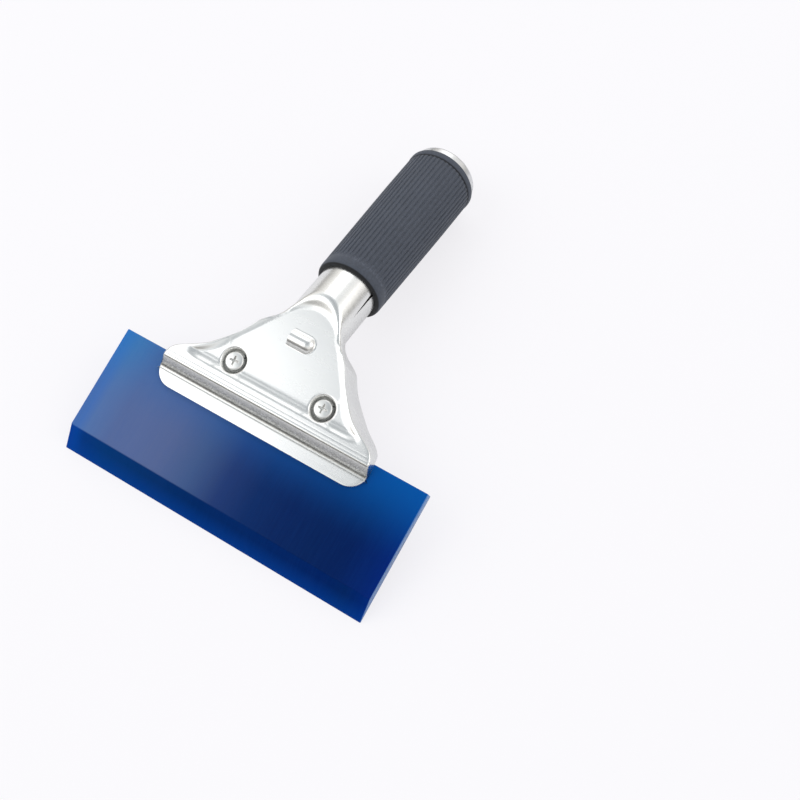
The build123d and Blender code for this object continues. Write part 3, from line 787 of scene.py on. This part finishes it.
def head_skin():
    """Outer skin of the head and tube as a grid; cut columns come twice, for the slits and the lance."""
    side = head_columns()
    whole = np.concatenate([-side[:0:-1], side])
    rows = head_rows()
    lance = int(np.argmin(np.abs(whole * HUMP_STOP - (HUMP_X - HUMP_HALF))))
    slits = [int(np.argmin(np.abs(whole - mark))) for mark in (-2.0, 2.0)]
    columns = [k for i in range(len(whole)) for k in ([i, i] if i in (lance, *slits) else [i])]
    skin = skin_grid(rows, whole)[:, columns]
    raise_hump(skin, columns.index(lance))
    for i in slits:
        open_slit(skin, rows, columns.index(i), np.sign(whole[columns]))
    return skin, [columns.index(i) for i in (lance, *slits)]


def walled(points, faces, wall):
    """Closed shell from an open skin: the skin, its inside at a distance, and its edges."""
    quads = np.asarray(faces)
    cross = np.cross(points[quads[:, 2]] - points[quads[:, 0]], points[quads[:, 3]] - points[quads[:, 1]])
    normals = np.zeros_like(points)
    for corner in range(4):
        np.add.at(normals, quads[:, corner], cross)
    normals /= np.maximum(np.linalg.norm(normals, axis=1, keepdims=True), 1e-12)
    count = len(points)
    sides = [(a, b) for f in faces for a, b in zip(f, f[1:] + f[:1])]
    paired = set(sides)
    shell = faces + [tuple(count + i for i in f[::-1]) for f in faces]
    shell += [(b, a, count + a, count + b) for a, b in sides if (b, a) not in paired]
    return np.concatenate([points, points - wall * normals]), shell


def joined(points, faces):
    """Points and quads with equal points made one, and without shut quads and unused points."""
    key = {}
    same = []
    for spot in np.round(points, 4):
        same.append(key.setdefault(tuple(spot), len(same)))
    faces = [tuple(same[i] for i in f) for f in faces]
    faces = [f for f in faces if len(set(f)) == 4]
    used = sorted({i for f in faces for i in f})
    place_of = {i: k for k, i in enumerate(used)}
    return points[used], [tuple(place_of[i] for i in f) for f in faces]


def build_head():
    """Pressed head and rolled tube, one sheet all through."""
    skin, cuts = head_skin()
    rows, columns = skin.shape[:2]
    faces = [f for f in rows_to_faces(rows, columns) if f[0] % columns not in cuts]
    flat = skin.reshape(-1, 3)
    middles = np.mean(flat[np.array(faces)], axis=1)
    on_seat = (middles[:, 2] < SEAT_TOP + 1) & (middles[:, 2] > SEAT_TOP - 1)
    in_hole = on_seat & (screw_distance(middles[:, 0], middles[:, 1]) < SCREW_HOLE)
    points, faces = joined(flat, [f for f, cut in zip(faces, in_hole) if not cut])
    points, shell = walled(points, faces, SHEET)
    return mesh_object("pressed_head", at(points), shell, 50.0)


# ---- blade
def build_blade():
    """Cast bar with one long edge cut to a bevel; its corners are a touch soft."""
    low = (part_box("blade")[0].x - JAW_MOUTH[0]) / MM
    high = (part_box("blade")[1].x - JAW_MOUTH[0]) / MM
    half = BLADE_THICK / 2
    corners = [(0.0, -half), (0.0, 0.3 - half), (10.5, half), (BLADE_WIDTH, half), (BLADE_WIDTH, -half)]
    outline = braced(rounded(corners, [0.08, 0.1, 0.5, 0.3, 0.3], 4))
    soft, gap, lengths = 0.22, 0.06, 60
    stations = [(low, soft), (low + 0.07, 0.07), (low + soft, 0.0), (low + soft + gap, 0.0)]
    stations += [(low + soft + (high - low - 2 * soft) * k / lengths, 0.0) for k in range(1, lengths)]
    stations += [(high - soft - gap, 0.0), (high - soft, 0.0), (high - 0.07, 0.07), (high, soft)]
    middle = np.array([BLADE_WIDTH / 2, -0.4])
    rings = []
    for x, draw in stations:
        uneven = 0.035 * math.sin(x * 0.31) + 0.02 * math.sin(x * 1.13 + 1.0)
        ring = []
        for y, z in outline:
            away = middle - (y, z)
            y, z = np.array([y, z]) + draw * np.sign(away) * (1.0, 0.6 if y > 1.0 else 0.05)
            ring.append((x, y + (uneven if 0.2 < y < 11.0 else 0.0), z))
        rings.append(ring)
    return solid_rings("cast_blade", at(rings), 22.0, capped=True)


# ---- grip
RIB_COUNT = 48
RIB_DEPTH = 0.5
SMOOTH_END = 6.5
COLLAR = GRIP_LENGTH - 3.2
BORE = TUBE_RADIUS + 0.05


def crest_radius(run):
    """Outer radius of the ribs along the grip: it swells slowly towards the far end."""
    return np.interp(run, [0.0, 8.0, 18.0, 38.0, 58.0, 73.0, GRIP_LENGTH],
                     [15.9, 16.0, 16.2, 16.6, 16.95, 17.05, 17.1])


def rib_ring():
    """Tree that sets copies of one rib round the handle axis."""
    tree = bpy.data.node_groups.new("ribs round the grip", "GeometryNodeTree")
    for way, label, kind in (("INPUT", "Rib", "Geometry"), ("INPUT", "Rib count", "Int"),
                             ("INPUT", "Rubber", "Material"), ("OUTPUT", "Ribs", "Geometry")):
        tree.interface.new_socket(label, in_out=way, socket_type="NodeSocket" + kind)
    given = tree.nodes.new("NodeGroupInput").outputs
    step = calc(tree, "DIVIDE", 2 * math.pi, given["Rib count"])
    turn = calc(tree, "MULTIPLY", node(tree, "GeometryNodeInputIndex").outputs[0], step)
    spots = node(tree, "GeometryNodePoints", Count=given["Rib count"])
    facing = node(tree, "FunctionNodeAxisAngleToRotation", Axis=(0.0, 0.0, 1.0), Angle=turn)
    copies = node(tree, "GeometryNodeInstanceOnPoints", Points=spots.outputs[0], Instance=given["Rib"],
                  Rotation=facing.outputs[0])
    real = node(tree, "GeometryNodeRealizeInstances", Geometry=copies.outputs[0])
    dressed = node(tree, "GeometryNodeSetMaterial", Geometry=real.outputs[0], Material=given["Rubber"])
    tree.links.new(dressed.outputs[0], tree.nodes.new("NodeGroupOutput").inputs["Ribs"])
    return tree


def one_rib():
    """One rib in the grip's own frame (across, up, along): a round-backed bar, sunk at both ends."""
    profile = [(-0.80, -0.75), (-0.66, -0.22), (-0.50, -0.05), (-0.25, 0.0), (0.0, 0.02), (0.25, 0.0),
               (0.50, -0.05), (0.66, -0.22), (0.80, -0.75)]
    stations = [(SMOOTH_END - 3.0, 0.2), (SMOOTH_END - 1.8, 0.06), (SMOOTH_END, 0.0)]
    stations += [(run, 0.0) for run in np.linspace(12.0, COLLAR - 5.0, 9)]
    stations += [(COLLAR - 1.2, 0.0), (COLLAR - 0.75, 0.1), (COLLAR - 0.5, 0.9)]
    rings = [[(a, crest_radius(run) + b - drop, run) for a, b in profile] for run, drop in stations]
    return solid_rings("rib", rings, capped=True)


def build_grip():
    """Rubber sleeve: a turned core with a smooth near end, ribs all along, and a flared far collar."""
    ribs = one_rib()
    ribs.data.materials.append(GRIP_RUBBER)
    modifier = ribs.modifiers.new("ribs", "NODES")
    modifier.node_group = rib_ring()
    items = modifier.node_group.interface.items_tree
    named = {item.name: item.identifier for item in items if item.in_out == "INPUT"}
    modifier[named["Rib count"]] = RIB_COUNT
    modifier[named["Rubber"]] = GRIP_RUBBER
    settle(ribs)
    points, faces = take_apart(ribs)
    points = list(at(on_axis(points, GRIP_START)))
    line = [(BORE, 0.0), (14.55, 0.0), (14.6, 0.02), (15.1, 0.14), (15.5, 0.45), (15.78, 1.0), (15.92, 1.8),
            (15.95, SMOOTH_END - 2.0), (15.86, SMOOTH_END - 1.2), (15.7, SMOOTH_END + 0.2),
            (15.5, SMOOTH_END + 1.8)]
    line += [(crest_radius(run) - RIB_DEPTH, run) for run in np.linspace(10.0, COLLAR - 1.2, 9)]
    line += [(crest_radius(COLLAR) - RIB_DEPTH, COLLAR - 0.3), (crest_radius(COLLAR) - 0.1, COLLAR),
             (17.18, COLLAR + 0.5), (17.28, COLLAR + 1.4), (17.3, COLLAR + 2.6), (17.2, GRIP_LENGTH - 0.5),
             (16.9, GRIP_LENGTH - 0.12), (16.5, GRIP_LENGTH), (BORE, GRIP_LENGTH)]
    core_points, core_faces = take_apart(turned("core", line, GRIP_START, 144))
    faces += [tuple(len(points) + i for i in f) for f in core_faces]
    return mesh_object("ribbed_grip", points + core_points, faces, 40.0)


# ---- end ring and pole socket
SOCKET_BORE = mounts["pole_socket_bore"]["dims"]["r_mm"]


def build_ring():
    """Turned steel ring against the grip's far end, with rounded rims."""
    wide = TUBE_RADIUS + 2.3
    corners = [(BORE, 0.0), (wide, 0.0), (wide, RING_LENGTH), (BORE, RING_LENGTH)]
    outline = braced(rounded(corners, [0.0, 0.25, 1.1, 0.15], 6))
    return turned("turned_ring", outline, GRIP_START + GRIP_LENGTH, 128)


def build_socket():
    """Moulded liner in the tube's end: a plain wall with a flanged and rounded mouth."""
    wide = TUBE_RADIUS - SHEET - 0.05
    deep, flange = -45.0, 1.5
    corners = [(SOCKET_BORE, deep), (wide - 0.8, deep), (wide, deep + 0.8), (wide, 0.0), (TUBE_RADIUS, 0.0),
               (TUBE_RADIUS, flange), (SOCKET_BORE, flange)]
    outline = braced(rounded(corners, [0.2, 0.0, 0.0, 0.0, 0.1, 0.5, 0.6], 5))
    return turned("pole_liner", outline, TUBE_END, 96)


# ---- screws, washers and nuts
HEAD_RADIUS = 4.0
HEAD_HEIGHT = 2.4
WASHER_THICK = 0.9
SCREW_LENGTH = 12.0
THREAD_RADIUS = 2.0
THREAD_PITCH = 0.7
ROUND = np.linspace(0, 2 * math.pi, 96, endpoint=False)


def circle(radius, height):
    """Ring of points about a screw's axis; radius and height may differ from point to point."""
    return np.stack([radius * np.cos(ROUND), radius * np.sin(ROUND), np.broadcast_to(height, ROUND.shape)], -1)


def cross_recess(x, y):
    """Depth of the tapered cross cut in a screw head."""
    along = np.maximum(np.abs(x), np.abs(y))
    aside = np.minimum(np.abs(x), np.abs(y))
    half = 0.42 - 0.05 * along
    depth = 1.5 - 0.42 * along
    return np.maximum(depth, 0.0) * (1 - ease(aside, half - 0.13, half + 0.06)) * (1 - ease(along, 1.75, 2.2))


def build_screw(name, x, turn):
    """Pan head screw with a cross recess and a cut thread."""
    dome = 3.5
    circles = []
    for r in np.linspace(0.0, dome, 36):
        top = circle(r, HEAD_HEIGHT - 0.26 * (r / dome) ** 2.4)
        top[:, 2] -= cross_recess(top[:, 0], top[:, 1])
        circles.append(top)
    rim = [(3.7, HEAD_HEIGHT - 0.36), (3.85, HEAD_HEIGHT - 0.52), (3.95, HEAD_HEIGHT - 0.76),
           (3.99, HEAD_HEIGHT - 1.1), (HEAD_RADIUS, 0.55), (3.97, 0.12), (3.85, 0.0), (2.05, 0.0)]
    circles += [circle(r, z) for r, z in rim]
    for z in np.arange(-0.1, 0.5 - SCREW_LENGTH, -THREAD_PITCH / 8):
        phase = (z / THREAD_PITCH - ROUND / (2 * math.pi)) % 1.0
        cut = 0.36 * (1 - np.abs(2 * phase - 1)) * ease(-z, 1.2, 1.9)
        circles.append(circle(THREAD_RADIUS - cut, z))
    circles += [circle(1.5, 0.1 - SCREW_LENGTH), circle(0.0, -SCREW_LENGTH)]
    c, s = math.cos(turn), math.sin(turn)
    circles = [np.stack([p[:, 0] * c - p[:, 1] * s, p[:, 0] * s + p[:, 1] * c, p[:, 2]], -1) for p in circles]
    return solid_rings(name, at(np.array(circles) + (x, SCREW_Y, SEAT_TOP + WASHER_THICK)), 40.0, 2e-6)


def build_washer(name, x, gap_at):
    """Split lock washer: a flat-sided ring cut once, its cut faces leaning."""
    corners = [(2.1, 0.0), (3.8, 0.0), (3.8, WASHER_THICK), (2.1, WASHER_THICK)]
    outline = braced(rounded(corners, [0.18] * 4, 3), 0.04)
    start = gap_at + math.radians(4.5)
    sweep = 2 * math.pi - math.radians(9.0)
    rings = []
    for k in np.linspace(0.0, 1.0, 73):
        ring = []
        for r, z in outline:
            a = start + k * sweep + (z / WASHER_THICK - 0.5) * 0.16
            ring.append((x + r * math.cos(a), SCREW_Y + r * math.sin(a), SEAT_TOP + z))
        rings.append(ring)
    return solid_rings(name, at(rings), capped=True)


def build_nut(name, x):
    """Hexagon nut with turned-down corners and a countersunk bore."""
    flats, height, bore, sink, face = 3.5, 3.2, 2.15, 0.35, 3.3
    hexagon = flats / np.cos((ROUND + math.pi / 6) % (math.pi / 3) - math.pi / 6)
    turned_down = np.maximum(hexagon - 3.45, 0.0) * 0.58
    circles = [circle(r, z) for r, z in ((bore, sink), (bore + sink, 0.0), (face, 0.0), (hexagon, turned_down),
                                         (hexagon, height - turned_down), (face, height),
                                         (bore + sink, height), (bore, height - sink), (bore, sink))]
    seat = -0.3 - SHEET - height
    return solid_rings(name, at(np.array(circles) + (x, SCREW_Y, seat)), 25.0)


# ---- assembly
def place(piece, material, body, finish, stands_for):
    """Dress a piece, let it ride on its body and hide the plain part that it stands for."""
    dress(piece, material)
    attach(piece, body)
    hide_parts(stands_for)


place(build_head(), PRESSED_STEEL, "handle", "pressed_steel", "handle_body")
place(build_blade(), BLADE_BLUE, "blade", "blade_polyurethane", "blade")
place(build_grip(), GRIP_RUBBER, "handle", "grip_rubber", "grip_sleeve")
place(build_ring(), RING_STEEL, "handle", "ring_steel", "end_ring")
place(build_socket(), SOCKET_PLASTIC, "handle", "socket_plastic", "pole_socket")
for side, x, turn in (("left", -SCREW_X, math.radians(5.6)), ("right", SCREW_X, math.radians(0.5))):
    place(build_screw(side + "_pan_screw", x, turn), SCREW_STEEL, side + "_screw", "screw_steel", side + "_screw")
    place(build_washer(side + "_split_washer", x, turn + 0.9), SCREW_STEEL, "handle", "screw_steel",
          side + "_lock_washer")
    place(build_nut(side + "_hex_nut", x), SCREW_STEEL, "jaw", "screw_steel", side + "_nut")
dress(frame["nodes"]["jaw_plate"], PLATE_STEEL)

# ---- studio
SEEN_WHITE = (0.985, 0.98, 1.0, 1.0)


def cleared_tree(owner):
    """Empty node tree of a material or world."""
    owner.use_nodes = True
    owner.node_tree.nodes.clear()
    return owner.node_tree


def build_floor():
    """Pale table that shows white, with the tool's soft shadow."""
    half = 6.0
    mesh = bpy.data.meshes.new("table")
    mesh.from_pydata([(-half, -half, 0), (half, -half, 0), (half, half, 0), (-half, half, 0)], [], [(0, 1, 2, 3)])
    material = bpy.data.materials.new("white table")
    mesh.materials.append(material)
    put("table", mesh)
    tree = cleared_tree(material)
    paper = node(tree, "ShaderNodeBsdfDiffuse", Color=(0.80, 0.80, 0.82, 1.0))
    glow = node(tree, "ShaderNodeEmission", Color=(0.985, 0.972, 1.0, 1.0), Strength=1.09)
    path = node(tree, "ShaderNodeLightPath").outputs
    mirrored = calc(tree, "MULTIPLY", path["Is Glossy Ray"], 0.4)
    seen = calc(tree, "MAXIMUM", path["Is Camera Ray"], mirrored)
    half_lit = node(tree, "ShaderNodeMixShader", n0=calc(tree, "MULTIPLY", seen, 0.7), n1=paper.outputs[0],
                    n2=glow.outputs[0])
    node(tree, "ShaderNodeOutputMaterial", Surface=half_lit.outputs[0])


def build_sky():
    """Studio room as it lights the tool: pale walls, darker low down, overhead and in front."""
    world = bpy.data.worlds.new("studio room")
    bpy.context.scene.world = world
    tree = cleared_tree(world)
    way = node(tree, "ShaderNodeSeparateXYZ", Vector=node(tree, "ShaderNodeTexCoord").outputs["Generated"])
    y, z = way.outputs[1], way.outputs[2]
    walls = ranged(tree, z, 0.03, 0.50, 0.32, 0.90, "SMOOTHSTEP")
    ceiling = ranged(tree, z, 0.80, 0.93, 1.0, 0.55, "SMOOTHSTEP")
    front = ranged(tree, y, -0.92, -0.66, 0.30, 1.0, "SMOOTHSTEP")
    room = calc(tree, "MULTIPLY", calc(tree, "MULTIPLY", walls, ceiling), front)
    warm_to_cool = mixed(tree, ranged(tree, z, 0.55, 0.95), (1.0, 0.98, 0.945, 1.0), (0.89, 0.95, 1.0, 1.0))
    seen = node(tree, "ShaderNodeLightPath").outputs["Is Camera Ray"]
    back = node(tree, "ShaderNodeBackground", Color=mixed(tree, seen, warm_to_cool, SEEN_WHITE),
                Strength=calc(tree, "MAXIMUM", room, seen))
    node(tree, "ShaderNodeOutputWorld", Surface=back.outputs[0])


def softbox(name, direction, distance, size, watts):
    """Square lamp shining at the tool from a direction, with one side level along X."""
    lamp = bpy.data.lights.new(name, "AREA")
    lamp.shape = "SQUARE"
    lamp.size = size
    lamp.energy = watts
    way = Vector(direction).normalized()
    side = (Vector(ACROSS) - way * way.dot(Vector(ACROSS))).normalized()
    turn = Matrix((side, way.cross(side), way)).transposed()
    put(name, lamp).matrix_world = Matrix.Translation(way * distance) @ turn.to_4x4()


def build_camera():
    """Camera above the blade's near right corner, looking down along the handle."""
    camera = bpy.data.cameras.new("camera")
    camera.lens = 45.84
    camera.sensor_width = 36.0
    camera.clip_start = 0.01
    camera.clip_end = 50.0
    aim = Vector((0.0415, -0.0148, 0.015))
    distance = 0.4327
    azimuth, elevation, roll = (math.radians(angle) for angle in (-57.9, 63.21, -1.28))
    way = Vector((math.cos(elevation) * math.cos(azimuth), math.cos(elevation) * math.sin(azimuth),
                  math.sin(elevation)))
    turn = way.to_track_quat("Z", "Y").to_matrix() @ Matrix.Rotation(roll, 3, "Z")
    holder = put("camera", camera)
    holder.matrix_world = Matrix.Translation(aim + way * distance) @ turn.to_4x4()
    bpy.context.scene.camera = holder


build_floor()
build_sky()
softbox("main softbox", (-0.763, -0.515, 0.848), 1.25, 1.0, 2.8)
softbox("back softbox", (-0.24, 0.66, 0.71), 1.3, 0.8, 1.55)
softbox("fill softbox", (0.75, 0.30, 0.60), 1.5, 1.0, 2.5)
build_camera()
bpy.context.scene.view_settings.view_transform = "Standard"
